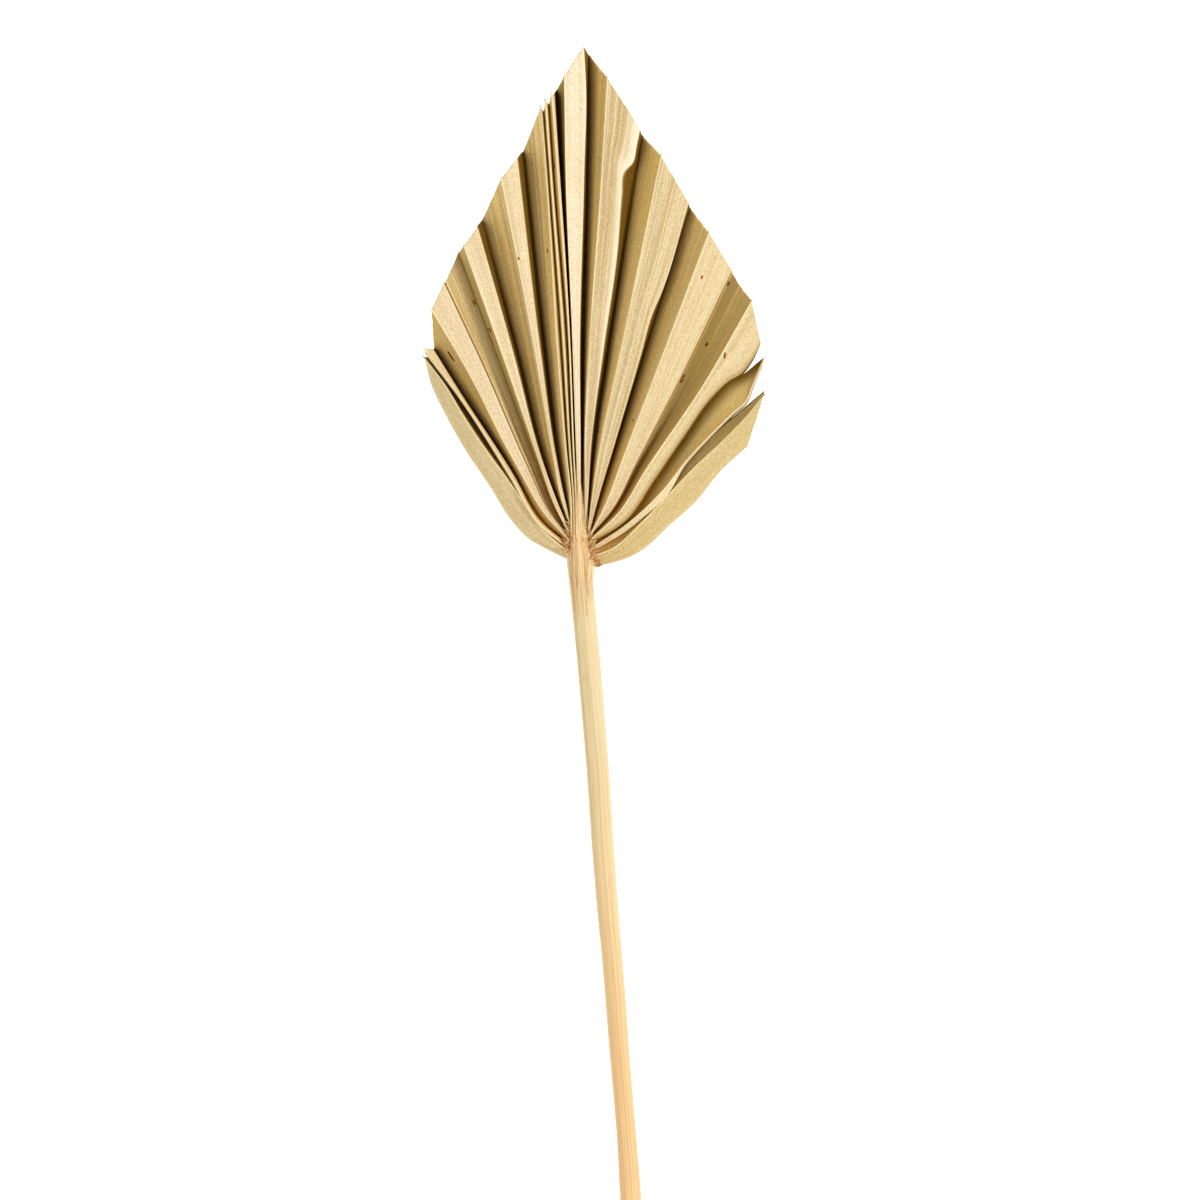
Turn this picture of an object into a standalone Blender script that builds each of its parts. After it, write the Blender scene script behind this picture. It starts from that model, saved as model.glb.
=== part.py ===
"""Dried fan palm leaf, trimmed to a spear: a pleated blade on a long, cut petiole, lying on its flat side.

Metres, +Z up. The leaf is drawn round its hastula, the place where the petiole meets the blade, with the
blade's tip along +Y and the petiole towards -Y. An empty then moves it, so that the origin is the bottom
centre of the leaf's bounding box.

The blade is a fan of pleats. Each crease is a curve from the petiole's end to the trimmed margin, and is
either a ridge (a midrib, high) or a valley (low, resting on the surface).
"""

import math

import bmesh
import bpy
from mathutils import Vector

MM = 0.001

# Petiole: distance along +Y from the hastula, centre line's X, half width, height. It is cut at the first row.
# Past the hastula it runs out over the blade as a tapering tongue, a little to the left.
PETIOLE_STATIONS_MM = (
    (-270.0, 20.2, 3.9, 6.6),
    (-232.0, 17.5, 3.8, 6.6),
    (-178.0, 13.3, 3.7, 6.7),
    (-114.0, 7.9, 4.0, 6.9),
    (-51.0, 3.2, 4.2, 7.2),
    (-12.0, -0.6, 4.4, 7.6),
    (-5.0, -0.3, 5.3, 8.0),
    (0.0, -0.8, 5.0, 8.2),
    (6.0, -1.5, 3.3, 8.4),
    (12.0, -1.7, 2.6, 8.4),
    (25.0, -1.9, 1.9, 8.0),
    (35.0, -1.9, 0.5, 7.0),
)
PETIOLE_SIDES = 16
FLAT_FACE_DEPTH = 0.32  # how much of the round section the flat underside takes away, of its half height

# Blade
SHEET_MM = 1.2  # thickness measured straight down; on the steep faces the wall is about half of it
JOIN_GAP_MM = 0.7  # clear space between the petiole's tongue and the blade
BASE_VALLEY_MM = 2.0
VALLEY_MM = SHEET_MM
BASE_RIDGE_MM = 6.0
RIDGE_MM = 11.0
RIDGE_RISE_MM = 35.0  # distance over which the pleats reach their depth
ROWS = 9

RIDGE, VALLEY = 1.0, 0.0

# Each crease: where it starts along the tongue (Y), a point on its way, its end at the margin, ridge or valley.
# They go round the fan from the lower left to the lower right. LEFT and RIGHT are the tongue's sides, and MIDDLE
# is past its end.
LEFT, MIDDLE, RIGHT = -1, 0, 1
BLADE_CREASES_MM = (
    (LEFT, 0.2, (-26.1, 24.8), (-56.9, 70.0), VALLEY),
    (LEFT, 1.2, (-25.2, 25.8), (-55.5, 73.3), RIDGE),
    (LEFT, 2.2, (-24.3, 26.7), (-53.5, 72.6), VALLEY),
    (LEFT, 3.6, (-22.6, 28.0), (-53.3, 82.1), RIDGE),
    (LEFT, 5.0, (-20.0, 29.9), (-49.8, 95.9), VALLEY),
    (LEFT, 6.6, (-15.8, 32.4), (-43.2, 107.0), RIDGE),
    (LEFT, 8.4, (-14.4, 33.0), (-37.5, 115.4), VALLEY),
    (LEFT, 10.6, (-10.1, 33.5), (-28.8, 132.3), RIDGE),
    (LEFT, 13.0, (-9.1, 35.0), (-24.3, 139.3), VALLEY),
    (LEFT, 17.0, (-6.2, 40.0), (-14.7, 157.0), RIDGE),
    (LEFT, 23.0, (-4.6, 48.0), (-10.3, 160.6), VALLEY),
    (LEFT, 30.0, (-3.2, 54.0), (-8.0, 166.5), RIDGE),
    (MIDDLE, 40.0, (-0.9, 60.0), (0.9, 180.0), VALLEY),
    (RIGHT, 29.0, (1.6, 58.0), (8.8, 168.3), RIDGE),
    (RIGHT, 22.0, (5.3, 53.7), (20.3, 149.9), VALLEY),
    (RIGHT, 16.0, (9.9, 53.1), (28.3, 140.4), RIDGE),
    (RIGHT, 12.0, (16.1, 51.6), (38.3, 123.8), VALLEY),
    (RIGHT, 9.0, (21.3, 49.6), (45.5, 112.9), RIDGE),
    (RIGHT, 6.6, (27.7, 46.3), (53.8, 99.9), VALLEY),
    (RIGHT, 4.2, (33.2, 42.6), (60.8, 88.4), RIDGE),
    (RIGHT, 1.8, (36.6, 39.8), (64.6, 73.6), VALLEY),
)

# The three segments that are split from the fan right down to the petiole: the same five values for each crease,
# with the height of its outer end instead of ridge or valley.
LOWER_LEFT_CREASES_MM = (
    (LEFT, -4.6, (-29.4, 16.0), (-55.6, 63.4), 1.2),
    (LEFT, -2.8, (-28.4, 19.8), (-56.4, 66.2), 5.5),
    (LEFT, -1.2, (-27.4, 23.3), (-56.9, 68.6), 7.5),
)
MIDDLE_RIGHT_CREASES_MM = (
    (RIGHT, 0.3, (37.9, 38.0), (64.9, 67.8), 1.8),
    (RIGHT, -0.9, (36.2, 33.0), (64.4, 63.6), 7.0),
    (RIGHT, -2.0, (34.6, 27.4), (62.6, 55.6), 2.6),
)
LOWER_RIGHT_CREASES_MM = (
    (RIGHT, -3.6, (36.8, 24.0), (65.7, 56.4), 7.0),
    (RIGHT, -5.2, (34.2, 16.0), (62.6, 46.8), 5.0),
    (RIGHT, -6.8, (31.0, 7.6), (59.8, 36.9), 1.2),
)
SEGMENT_BASE_MM = 3.6

COLOURS = {
    "petiole": (0.70, 0.54, 0.27, 1.0),
    "blade": (0.72, 0.57, 0.33, 1.0),
}
ROUGHNESS = 0.6


def clear_scene():
    for obj in list(bpy.data.objects):
        bpy.data.objects.remove(obj, do_unlink=True)


def leaf_material(name):
    material = bpy.data.materials.new(name)
    material.use_nodes = True
    shader = material.node_tree.nodes["Principled BSDF"]
    shader.inputs["Base Color"].default_value = COLOURS[name]
    shader.inputs["Roughness"].default_value = ROUGHNESS
    shader.inputs["Metallic"].default_value = 0.0
    return material


def add_object(name, bm, material, parent):
    bmesh.ops.recalc_face_normals(bm, faces=bm.faces)
    mesh = bpy.data.meshes.new(name)
    bm.to_mesh(mesh)
    bm.free()
    mesh.materials.append(material)
    obj = bpy.data.objects.new(name, mesh)
    obj.parent = parent
    bpy.context.scene.collection.objects.link(obj)
    return obj


def tongue_edge(side, y):
    """X, in mm, of the tongue's left or right edge at this distance from the hastula, or of its middle."""
    for near, far in zip(PETIOLE_STATIONS_MM, PETIOLE_STATIONS_MM[1:]):
        if near[0] <= y <= far[0]:
            share = (y - near[0]) / (far[0] - near[0])
            edges = [station[1] + side * station[2] for station in (near, far)]
            return edges[0] + share * (edges[1] - edges[0])
    return PETIOLE_STATIONS_MM[-1][1]


def place_section(verts, station):
    """Puts a ring of the petiole on its section: round above, cut flat below, standing on z = 0."""
    y, x, half_width, height = station
    half_height = height / (2 - FLAT_FACE_DEPTH)
    for index, vert in enumerate(verts):
        angle = math.tau * (index + 0.5) / len(verts)
        low = max(math.sin(angle), FLAT_FACE_DEPTH - 1)
        z = (low + 1 - FLAT_FACE_DEPTH) * half_height
        vert.co = Vector((x + half_width * math.cos(angle), y, z)) * MM


def make_petiole(material, parent):
    bm = bmesh.new()
    ring = bmesh.ops.create_circle(bm, segments=PETIOLE_SIDES, radius=MM)["verts"]
    place_section(ring, PETIOLE_STATIONS_MM[0])
    edges = bm.edges[:]
    for station in PETIOLE_STATIONS_MM[1:]:
        grown = bmesh.ops.extrude_edge_only(bm, edges=edges)["geom"]
        edges = [item for item in grown if isinstance(item, bmesh.types.BMEdge)]
        ring = [item for item in grown if isinstance(item, bmesh.types.BMVert)]
        place_section(ring, station)
    bmesh.ops.holes_fill(bm, edges=bm.edges[:], sides=PETIOLE_SIDES)
    obj = add_object("petiole", bm, material, parent)
    obj.data.shade_smooth()
    obj.data.set_sharp_from_angle(angle=math.radians(40))
    return obj


def crease_point(crease, share):
    """The point of a crease in plan, in mm, where share runs from 0 at the tongue to 1 at the margin."""
    side, start_y, via, end, _ = crease
    start = Vector((tongue_edge(side, start_y) + side * JOIN_GAP_MM, start_y))
    via = Vector(via)
    end = Vector(end)
    first = (via - start).length
    middle = first / (first + (end - via).length)
    toward_end = share * (share - middle) / (1 - middle)
    toward_via = share * (1 - share) / (middle * (1 - middle))
    toward_start = (1 - share) * (middle - share) / middle
    return start * toward_start + via * toward_via + end * toward_end, (end - start).length * share


def pleat_height(crease, distance):
    """Height of the blade's upper face on a ridge or a valley, in mm, at this distance from the tongue."""
    opened = 1 - math.exp(-distance / RIDGE_RISE_MM)
    if crease[4] == RIDGE:
        return BASE_RIDGE_MM + (RIDGE_MM - BASE_RIDGE_MM) * opened
    return BASE_VALLEY_MM + (VALLEY_MM - BASE_VALLEY_MM) * opened


def segment_height(crease, distance):
    """Height of a split segment's upper face, in mm: from the base's height to the crease's own."""
    opened = 1 - math.exp(-distance / RIDGE_RISE_MM)
    return SEGMENT_BASE_MM + (crease[4] - SEGMENT_BASE_MM) * opened


def make_sheet(name, creases, height, material, parent):
    """A grid with a column for each crease, set on its pleats and thickened straight down."""
    bm = bmesh.new()
    bmesh.ops.create_grid(bm, x_segments=len(creases) - 1, y_segments=ROWS - 1, size=1.0)
    for vert in bm.verts:
        column = round((vert.co.x + 1) / 2 * (len(creases) - 1))
        share = (vert.co.y + 1) / 2
        point, distance = crease_point(creases[column], share)
        vert.co = Vector((point.x, point.y, height(creases[column], distance))) * MM
    grown = bmesh.ops.extrude_face_region(bm, geom=bm.faces[:])
    lower = [item for item in grown["geom"] if isinstance(item, bmesh.types.BMVert)]
    bmesh.ops.translate(bm, verts=lower, vec=(0.0, 0.0, -SHEET_MM * MM))
    return add_object(name, bm, material, parent)


def stand_on_origin(parent, pieces):
    """Moves the leaf so that the origin is the bottom centre of its bounding box."""
    corners = [vert.co for piece in pieces for vert in piece.data.vertices]
    low = Vector([min(corner[axis] for corner in corners) for axis in range(3)])
    high = Vector([max(corner[axis] for corner in corners) for axis in range(3)])
    centre = (low + high) / 2
    parent.location = (-centre.x, -centre.y, -low.z)


def main():
    clear_scene()
    bpy.context.scene.unit_settings.scale_length = 1.0
    leaf = bpy.data.objects.new("leaf", None)
    bpy.context.scene.collection.objects.link(leaf)
    stem = leaf_material("petiole")
    blade = leaf_material("blade")
    pieces = [
        make_petiole(stem, leaf),
        make_sheet("blade", BLADE_CREASES_MM, pleat_height, blade, leaf),
        make_sheet("lower_left_segment", LOWER_LEFT_CREASES_MM, segment_height, blade, leaf),
        make_sheet("middle_right_segment", MIDDLE_RIGHT_CREASES_MM, segment_height, blade, leaf),
        make_sheet("lower_right_segment", LOWER_RIGHT_CREASES_MM, segment_height, blade, leaf),
    ]
    stand_on_origin(leaf, pieces)
    bpy.context.view_layer.update()


main()
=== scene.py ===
"""Dried fan palm leaf, trimmed to a spear, lying on a pale floor and seen from above.

The leaf is laid out round its hastula, where the petiole meets the blade: +Y runs to the tip, +X across,
+Z up, in millimetres. Every fold of the blade is a rail, a smooth line from the petiole to the trimmed margin.
A sheet is a grid that is hung between its rails.
"""

import math
import random
from collections import namedtuple

import bmesh
import bpy
import numpy as np
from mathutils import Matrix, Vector, noise
from mathutils.bvhtree import BVHTree


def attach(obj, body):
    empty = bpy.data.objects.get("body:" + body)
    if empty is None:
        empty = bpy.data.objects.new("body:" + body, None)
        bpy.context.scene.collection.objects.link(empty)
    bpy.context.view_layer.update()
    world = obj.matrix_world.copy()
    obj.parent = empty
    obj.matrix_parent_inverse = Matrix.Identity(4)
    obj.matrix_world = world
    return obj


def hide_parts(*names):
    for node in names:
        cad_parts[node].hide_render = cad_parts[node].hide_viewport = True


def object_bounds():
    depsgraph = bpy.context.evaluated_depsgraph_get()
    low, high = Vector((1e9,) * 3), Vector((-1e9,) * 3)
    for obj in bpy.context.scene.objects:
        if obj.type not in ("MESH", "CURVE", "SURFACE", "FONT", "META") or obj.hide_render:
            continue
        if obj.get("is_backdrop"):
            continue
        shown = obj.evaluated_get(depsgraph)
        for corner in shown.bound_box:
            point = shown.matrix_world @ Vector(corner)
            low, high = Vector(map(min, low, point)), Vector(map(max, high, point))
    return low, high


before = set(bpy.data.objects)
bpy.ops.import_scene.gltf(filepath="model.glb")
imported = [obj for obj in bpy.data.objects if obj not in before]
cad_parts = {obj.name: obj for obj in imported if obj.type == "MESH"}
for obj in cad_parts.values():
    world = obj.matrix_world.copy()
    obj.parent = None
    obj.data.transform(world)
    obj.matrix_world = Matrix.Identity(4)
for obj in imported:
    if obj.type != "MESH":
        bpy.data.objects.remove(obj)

MM = 0.001
CAD_LOW, CAD_HIGH = (Vector(corner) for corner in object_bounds())
TIP_REACH = 180.0  # from the hastula to the tip
LEFT_REACH = 56.9  # from the hastula to the leftmost point of the margin
HASTULA = Vector((CAD_LOW.x + LEFT_REACH * MM, CAD_HIGH.y - TIP_REACH * MM, 0.0))

# ---------------------------------------------------------------- rails

# A floor is the bottom of a groove, a ridge is a rib's crest, a rim is the sharp far edge of a lit face, and a
# step is the foot of the small drop below a rim whose face slopes on.
FLOOR, RIDGE, RIM, STEP = "floor", "ridge", "rim", "step"
ROOT_RADII = (18.0, 36.0, 72.0)  # distances from the hastula where each fan rail's angle is given

# Height at the petiole, at the three radii and at the margin.
HEIGHTS = {
    FLOOR: (3.4, 2.0, 1.4, 1.0, 1.0),
    RIDGE: (7.0, 8.0, 9.4, 10.6, 11.2),
    RIM: (6.4, 7.2, 8.2, 9.0, 9.2),
    STEP: (5.2, 5.4, 5.8, 6.2, 6.6),
}

FULL_SHADE_REACH = 0.45  # painted shade reaching at least this far is fully dark at the bottom of its groove; a shorter reach is painted lighter there

# A rail's points in millimetres, then its looks. The first three are the fold's own: how red it is, how far the
# painted highlight along a rim is widened and brightened, and how strongly painted shade darkens the lit face
# towards its rim. The others are those of the face on its right: how streaked and creamy it is, how much painted
# shade darkens it, and how far the painted shade of its groove reaches over it, in millimetres.
Rail = namedtuple(
    "Rail",
    "kind points rust pale curl streak cream dim depth",
    defaults=(0.15, 0.0, 0.0, 0.35, 0.35, 0.0, FULL_SHADE_REACH),
)


def polar(radius, angle):
    """A point in plan at this distance from the hastula, the angle in degrees from the tip towards +X."""
    turn = math.radians(angle)
    return radius * math.sin(turn), radius * math.cos(turn)


def fan_rail(kind, start, angles, end, reach, heights=None, bends=(), **look):
    """A fold of the fan: where it leaves the petiole, its angle at the three radii and any more bends, its end."""
    levels = heights or HEIGHTS[kind]
    places = sorted([*zip(ROOT_RADII, angles), *bends, (reach, end)])
    radii = (math.hypot(*start), *ROOT_RADII, reach)
    points = [(*start, levels[0])]
    points += [(*polar(radius, angle), float(np.interp(radius, radii, levels))) for radius, angle in places]
    return Rail(kind, points, **look)


def along(points, shares):
    """Points of the smooth curve through these points, at these shares of its length in plan."""
    points = np.array(points, float)
    steps = np.linalg.norm(np.diff(points[:, :2], axis=0), axis=1)
    knots = np.concatenate([[0.0], np.cumsum(steps)]) / steps.sum()
    slopes = np.gradient(points, knots, axis=0)
    index = np.clip(np.searchsorted(knots, shares, side="right") - 1, 0, len(knots) - 2)
    span = (knots[index + 1] - knots[index])[:, None]
    t = (shares[:, None] - knots[index][:, None]) / span
    return (
        points[index] * (2 * t**3 - 3 * t**2 + 1)
        + slopes[index] * span * (t**3 - 2 * t**2 + t)
        + points[index + 1] * (3 * t**2 - 2 * t**3)
        + slopes[index + 1] * span * (t**3 - t**2)
    )


# Each fan rail: its start, its angles at the three radii, its end's angle and reach, and where it isn't the usual,
# its heights and its further bends (radius, angle). All go round the fan from the lower left.
MIDDLE_GROOVE = fan_rail(
    FLOOR, (0.4, 5.4), (0.3, 0.2, 0.25), 0.75, 178.6, (7.7, 6.0, 1.6, 1.0, 1.0), ((132.0, 0.8),),
)
LEFT_FAN = (
    fan_rail(RIM, (-4.6, -1.0), (-62.2, -46.0, -39.3), -38.9, 89.8, (3.4, 5.2, 6.2, 6.8, 7.0), rust=0.3),
    fan_rail(RIDGE, (-4.6, -0.2), (-60.6, -45.1, -38.85), -38.3, 91.4, (5.6, 7.0, 8.0, 8.6, 8.4), cream=0.5),
    fan_rail(RIM, (-4.6, 1.0), (-57.0, -43.1, -38.0), -36.8, 89.4, (5.0, 6.0, 6.6, 7.0, 6.8), rust=0.8),
    fan_rail(FLOOR, (-4.6, 1.5), (-55.9, -42.5, -37.6), -36.5, 90.0, dim=0.28),
    fan_rail(RIDGE, (-4.7, 2.8), (-47.7, -38.9, -33.1), -32.3, 101.0, bends=((49.0, -36.2),), cream=0.70),
    fan_rail(
        RIM, (-4.7, 4.0), (-42.1, -33.8, -28.7), -27.5, 107.4, (6.0, 6.6, 7.2, 7.6, 7.8), rust=0.35, dim=0.85,
    ),
    fan_rail(STEP, (-4.7, 4.2), (-41.0, -33.1, -28.3), -27.2, 107.6, streak=1.0, dim=0.14),
    fan_rail(
        FLOOR, (-4.7, 4.8), (-34.4, -27.6, -24.0), -22.7, 115.5, (3.2, 3.0, 3.4, 4.0, 4.6), dim=0.44, depth=0.3,
    ),
    fan_rail(RIDGE, (-4.7, 5.4), (-32.5, -26.0, -22.6), -21.4, 116.0, cream=0.70),
    fan_rail(RIM, (-4.6, 6.6), (-28.5, -24.2, -19.5), -18.05, 121.2),
    fan_rail(FLOOR, (-4.5, 7.2), (-27.6, -23.3, -18.6), -17.0, 123.9, streak=0.9),
    fan_rail(RIDGE, (-4.2, 8.4), (-22.9, -17.0, -13.5), -12.35, 135.6, cream=0.65),
    fan_rail(RIM, (-4.0, 9.6), (-19.6, -15.6, -11.9), -9.45, 141.6),
    fan_rail(FLOOR, (-3.8, 10.2), (-18.4, -14.4, -10.7), -8.45, 145.0, streak=0.9),
    fan_rail(
        RIDGE, (-3.9, 5.6), (-13.0, -9.4, -7.1), -5.35, 158.8, (8.0, 8.6, 9.8, 10.8, 11.2),
        ((132.0, -5.5),), cream=0.3,
    ),
    fan_rail(FLOOR, (-3.3, 5.2), (-11.4, -8.2, -5.9), -5.0, 157.6, (7.9, 7.4, 7.2, 7.6, 8.0), ((132.0, -5.15),)),
    fan_rail(
        RIDGE, (-2.9, 5.0), (-10.0, -7.0, -5.2), -4.7, 160.8, (8.3, 8.6, 9.4, 10.4, 10.8),
        ((132.0, -4.8),), cream=0.5,
    ),
    fan_rail(FLOOR, (-2.4, 4.8), (-8.4, -5.8, -4.1), -4.25, 160.2, (8.1, 7.5, 6.6, 7.0, 7.4), ((132.0, -4.35),)),
    fan_rail(
        RIDGE, (-2.1, 4.6), (-7.2, -5.0, -3.6), -3.85, 163.6, (8.4, 8.6, 9.2, 10.2, 10.6),
        ((132.0, -3.75),), cream=0.6,
    ),
    fan_rail(RIM, (-1.8, 4.6), (-6.4, -4.4, -3.25), -3.5, 162.6, (8.3, 8.3, 8.8, 9.8, 10.2)),
    fan_rail(
        FLOOR, (-1.5, 4.6), (-5.6, -3.9, -3.05), -3.15, 166.0, (8.1, 7.4, 4.6, 3.0, 1.6),
        ((132.0, -3.15),), dim=0.6,
    ),
    fan_rail(
        RIDGE, (-1.1, 4.6), (-4.2, -3.2, -2.6), -2.15, 169.2, (8.3, 8.5, 9.4, 10.4, 10.8),
        ((132.0, -2.5),), cream=1.0, streak=0.2,
    ),
    fan_rail(
        RIM, (0.1, 4.8), (-1.4, -0.8, -0.6), 0.2, 180.3, (8.1, 8.0, 8.4, 9.4, 9.8),
        ((132.0, 0.32), (168.0, 0.47)), rust=0.3,
    ),
    MIDDLE_GROOVE,
)
RIGHT_FAN = (
    MIDDLE_GROOVE,
    fan_rail(
        RIDGE, (1.0, 6.4), (4.1, 1.7, 2.1), 3.1, 168.8, (7.9, 8.2, 9.4, 10.6, 11.2),
        ((132.0, 3.0),), streak=1.0, cream=0.5,
    ),
    fan_rail(
        RIM, (1.6, 7.6), (7.0, 5.1, 6.2), 7.9, 152.0, (6.4, 7.2, 8.0, 8.6, 9.6),
        ((108.0, 6.8), (128.0, 6.4), (136.0, 6.4), (139.5, 7.5), (146.0, 7.75)), rust=0.2, pale=1.0,
    ),
    fan_rail(FLOOR, (1.8, 7.4), (8.0, 6.6, 7.5), 8.2, 151.2, bends=((108.0, 7.9),)),
    fan_rail(RIDGE, (2.2, 6.8), (11.6, 10.2, 11.1), 11.4, 143.4, streak=0.8, cream=0.45),
    fan_rail(RIM, (2.7, 5.8), (18.2, 17.4, 17.0), 17.2, 129.8, bends=((88.0, 16.8), (96.0, 17.35))),
    fan_rail(FLOOR, (2.8, 5.4), (19.2, 18.1, 17.5), 17.5, 129.4),
    fan_rail(RIDGE, (3.1, 4.8), (28.3, 24.5, 22.8), 21.95, 121.9, streak=0.45, cream=0.35),
    fan_rail(RIM, (3.3, 4.9), (38.0, 32.5, 29.9), 28.3, 113.6, (6.0, 6.6, 7.4, 7.8, 7.8), rust=0.9),
    fan_rail(STEP, (3.3, 4.7), (39.0, 33.1, 30.3), 28.6, 113.2, (4.0, 4.0, 4.2, 4.4, 5.2), streak=0.8, dim=0.62),
    fan_rail(
        FLOOR, (3.4, 4.4), (41.2, 35.6, 32.6), 30.8, 110.8, (3.0, 2.4, 2.4, 2.6, 3.6),
        streak=0.6, dim=0.34, depth=0.16,
    ),
    fan_rail(RIDGE, (3.5, 3.6), (46.1, 39.2, 36.7), 34.5, 107.6, (6.8, 7.6, 8.8, 9.6, 9.8)),
    fan_rail(
        RIM, (3.7, 2.2), (58.2, 46.6, 40.7), 41.2, 97.8, (6.0, 6.4, 6.6, 7.0, 7.2),
        ((54.0, 42.4), (79.5, 41.2), (85.3, 42.3), (91.0, 42.1)), curl=0.5,
    ),
    fan_rail(
        FLOOR, (3.7, 1.8), (59.3, 47.3, 41.2), 41.4, 97.0, (3.6, 3.6, 4.6, 5.4, 6.2),
        ((54.0, 43.1), (79.5, 41.6), (85.0, 42.8), (90.8, 42.5)),
    ),
)
LOWER_LEFT = (
    Rail(RIM, [
        (-3.6, -4.9, 3.2), (-6.9, -3.3, 2.6), (-13.3, -0.1, 1.8), (-19.8, 3.8, 1.2), (-26.2, 10.8, 0.9),
        (-32.6, 21.1, 0.8), (-42.9, 36.6, 0.8), (-50.0, 49.4, 0.8), (-54.5, 59.0, 0.9), (-56.6, 67.6, 3.6),
    ], streak=0.1, cream=0.3),
    Rail(RIDGE, [
        (-3.4, -1.4, 5.2), (-9.0, 2.0, 5.6), (-13.3, 6.0, 6.0), (-19.8, 15.0, 6.3), (-26.2, 24.0, 6.6),
        (-35.8, 37.0, 6.8), (-42.9, 47.9, 6.7), (-50.0, 59.8, 6.2), (-56.7, 68.4, 5.2),
    ], streak=0.2, cream=0.5, dim=0.95),
    Rail(FLOOR, [
        (-2.6, 1.6, 3.0), (-8.6, 6.0, 2.2), (-12.2, 10.6, 2.0), (-18.8, 20.6, 2.0), (-24.4, 28.6, 2.2),
        (-34.0, 41.2, 1.8), (-41.4, 51.6, 1.6), (-48.2, 62.2, 1.6), (-54.4, 69.8, 1.8),
    ]),
)
MIDDLE_RIGHT = (
    fan_rail(
        FLOOR, (3.4, 2.2), (58.4, 46.6, 40.9), 43.5, 94.0, (2.6, 1.6, 1.6, 2.4, 4.2),
        ((54.0, 42.6), (79.5, 41.3), (85.0, 42.7)), dim=0.22, depth=3.0,
    ),
    fan_rail(
        RIDGE, (3.9, 0.4), (62.0, 54.4, 48.3), 43.9, 94.2, (5.6, 6.8, 7.6, 7.8, 7.0),
        ((47.8, 50.4), (58.0, 49.1), (80.0, 48.1), (84.0, 46.8)), cream=0.5,
    ),
    fan_rail(
        RIM, (3.9, -1.2), (68.0, 58.2, 48.6), 44.8, 92.4, (4.8, 5.6, 6.2, 6.6, 6.4),
        ((24.0, 63.7), (47.8, 51.3), (58.7, 49.5), (80.0, 48.4), (84.0, 47.0)), rust=0.5,
    ),
    fan_rail(
        FLOOR, (3.9, -1.6), (69.6, 58.9, 48.9), 44.9, 92.2, (3.4, 3.0, 3.4, 4.6, 5.6),
        ((24.0, 64.6), (47.8, 51.7), (58.7, 49.8), (80.0, 48.6), (84.0, 47.2)),
    ),
)
LOWER_RIGHT = (
    Rail(FLOOR, [
        (2.6, 0.4, 2.6), (11.0, 4.4, 1.8), (20.0, 12.6, 1.3), (30.0, 24.0, 1.2), (40.0, 35.4, 1.2),
        (49.0, 43.0, 1.4), (56.6, 49.2, 2.4), (65.7, 56.8, 4.6),
    ], dim=0.42, streak=0.7),
    Rail(RIDGE, [
        (3.4, -3.2, 5.0), (11.5, 0.3, 5.6), (21.2, 9.0, 5.8), (31.0, 19.2, 5.9), (40.7, 29.3, 6.0),
        (50.4, 38.4, 6.0), (58.7, 46.8, 6.0), (65.5, 55.0, 5.4),
    ], streak=0.25, cream=0.0, dim=0.06),
    Rail(RIM, [
        (3.6, -6.9, 2.8), (6.7, -6.3, 2.4), (20.3, -1.7, 1.2), (23.7, 0.7, 1.0), (31.0, 7.6, 0.8),
        (40.7, 16.3, 0.8), (50.4, 28.1, 0.8), (59.9, 36.9, 0.9),
    ]),
)

# ---------------------------------------------------------------- sheets

SHEET_THICKNESS = 0.35
ROWS = 150
ROW_CROWDING = 1.1  # above 1, the rows stand closer together at the petiole
STREAK_RADIUS_SHARE = 0.6  # the row whose width sets how many streaks a face carries

# What a face between two folds is: the shaded side of a pleat, its lit side, the drop behind a rim, the slope below
# a step, or the near wall of a narrow slit. Then its columns, and how far it bulges in millimetres.
MEDIUM, LIGHT, WALL, SLOPE, LAYER = "medium", "light", "wall", "slope", "layer"
COLUMNS = {MEDIUM: 14, LIGHT: 18, WALL: 6, SLOPE: 12, LAYER: 7}
SWELL = {MEDIUM: -0.25, LIGHT: 0.45, WALL: 0.0, SLOPE: -0.3, LAYER: 0.1}
FULL_SWELL_WIDTH = 5

MARKS = ("crest", "rim", "rust", "painted_shade", "shade", "streak", "cream")

# How far each mark reaches from its fold, in millimetres. The rib's pale line also carries a painted highlight, the
# rim mark is a painted highlight and rust is its red, and the marks where a lit face turns into its rim and in a
# slit are painted shade.
RIB_WIDTH, RIB_HEIGHT = 0.36, 0.30
RIM_REACH = 0.35
WALL_RIM_REACH = 0.12
RUST_REACH = 0.22
RIM_SHADE_REACH = 1.1
SLIT_REACH = 0.30
SPREAD_HIGHLIGHT_FROM, SPREAD_HIGHLIGHT_SHARE = 4.5, 0.32  # the painted highlight along a pale rim spreads over this share of what a face has past this width

# Painted shade in a groove is fully dark over the first share of its reach, then fades with its reach and its face's
# width.
DARK_SHARE, FADE_SHARE, FADE_PER_WIDTH = 0.4, 0.8, 0.09
# Painted shade where a slope meets its groove: its darkest, and how fast it fades.
SLOPE_DARKEST, SLOPE_FADE, SLOPE_FADE_PER_WIDTH = 0.75, 0.2, 0.25
DARKENING = 8  # how soon the painted shade of a wall or a dimmed face reaches its dark, across it
# Painted shade down the drop below a rim to its step, and the red of the rim fading down it.
STEP_DARKEST, STEP_DARKENING = 0.6, 1.2
STEP_RUST, STEP_RUST_FADE = 0.8, 1.6
# How much of the shaded-face colour (painted shade) a slope and a slit take, and how much a crest's painted
# highlight takes off it.
SLOPE_SHADE, SLIT_SHADE, CREST_LIGHT = 0.55, 0.6, 0.8


def face_kind(left, right):
    if left.kind == FLOOR:
        return MEDIUM
    if left.kind == STEP:
        return SLOPE
    if right.kind in (FLOOR, STEP):
        return LAYER if left.kind == RIDGE else WALL
    return LIGHT


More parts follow.
